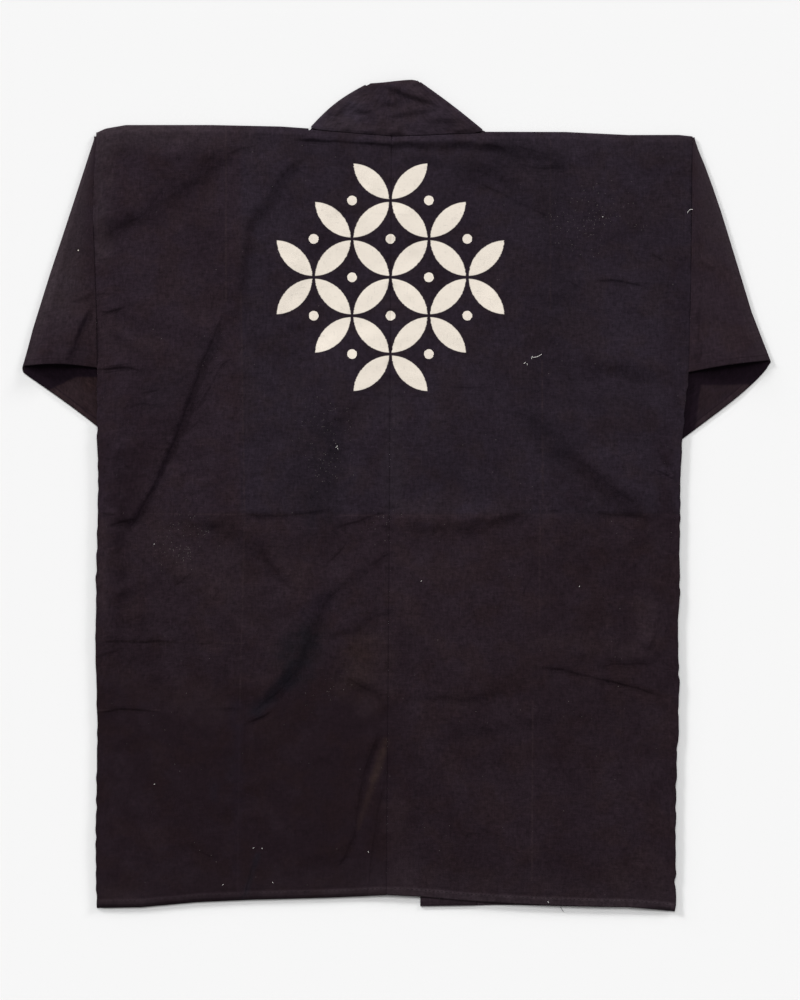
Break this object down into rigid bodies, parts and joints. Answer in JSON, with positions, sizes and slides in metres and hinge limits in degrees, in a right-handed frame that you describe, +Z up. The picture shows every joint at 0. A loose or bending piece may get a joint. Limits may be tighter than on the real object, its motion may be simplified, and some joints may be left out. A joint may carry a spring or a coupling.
{
  "type": "happi coat",
  "caption": "Short open cotton work coat laid flat with its back uppermost, with folded sleeves and a stitched band collar.",
  "frame": {"origin": "middle of the coat's outline, on the surface that it lies on", "axes": "+Z up, +Y from the hem towards the collar, +X to the wearer's right"},
  "size_m": [0.808, 0.8982, 0.0063],
  "materials": {
    "black_cotton": "matt plain weave"
  },
  "bodies": {
    "root": {"body_left": "black_cotton", "body_right": "black_cotton", "sleeve_left": "black_cotton", "sleeve_right": "black_cotton", "collar": "black_cotton"}
  },
  "joints": []
}
